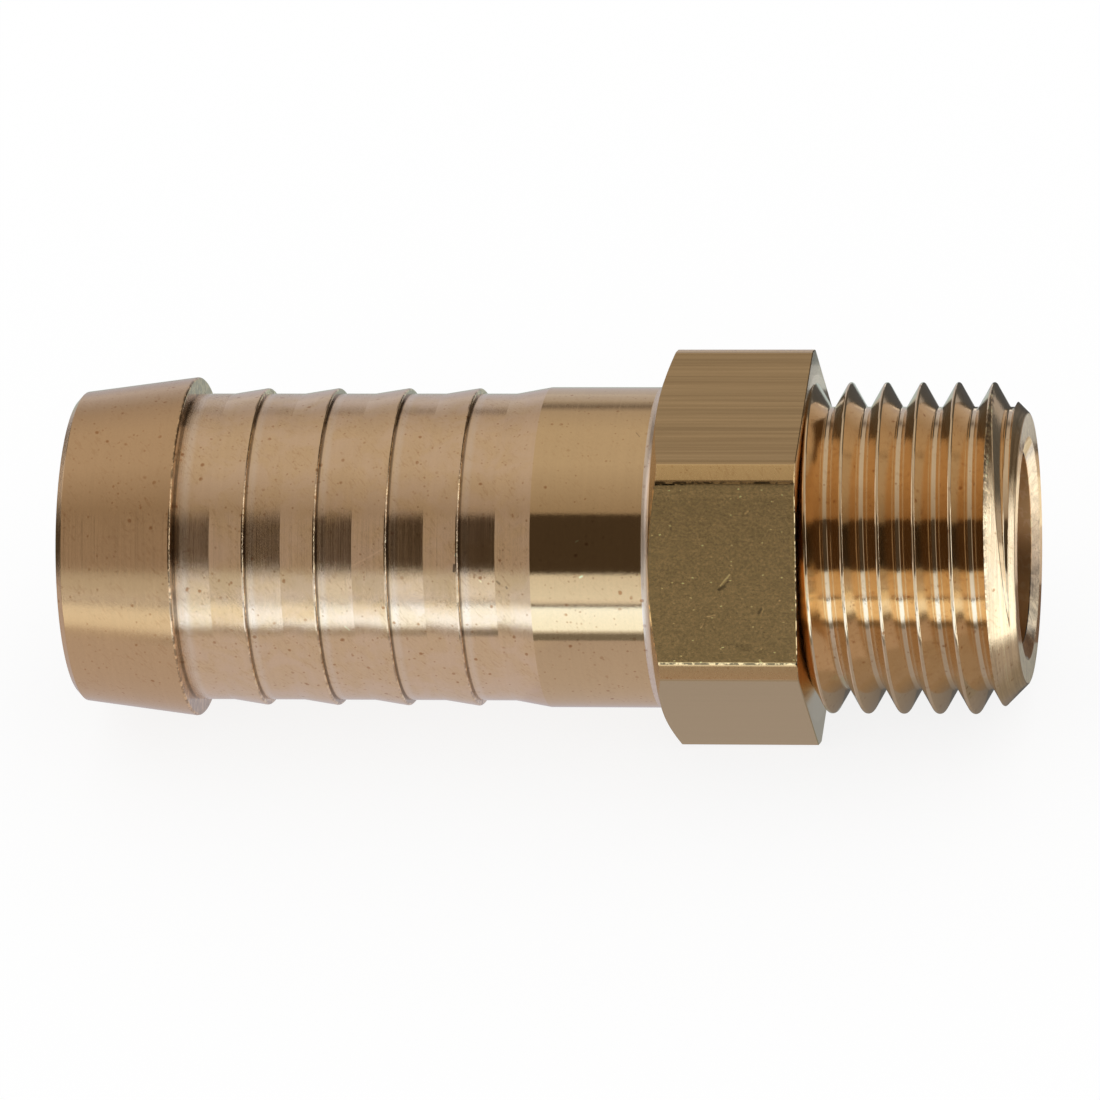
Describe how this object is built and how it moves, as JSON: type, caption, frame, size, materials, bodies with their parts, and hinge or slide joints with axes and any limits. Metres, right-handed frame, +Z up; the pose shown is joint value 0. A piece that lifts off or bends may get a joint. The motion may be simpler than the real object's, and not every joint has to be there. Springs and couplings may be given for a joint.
{
  "type": "hose barb tail",
  "caption": "Turned brass hose tail with a barbed end, a spanner hexagon, a male parallel thread and a straight through bore.",
  "frame": {"origin": "on the axis of the fitting, in the plane of the hexagon's face on the thread side, where the thread meets its shoulder", "axes": "+X along the axis towards the thread's end, with the hose barbs towards -X; +Z up, square to the hexagon's upper flat, so the fitting lies on the hexagon's lower flat"},
  "size_m": [0.04, 0.0166, 0.0148],
  "materials": {
    "brass": "turned free-cutting brass, bright, with fine lathe marks on the turned faces and drawn-bar streaks on the flats"
  },
  "bodies": {
    "root": {"hose_tail": "brass"}
  },
  "joints": []
}
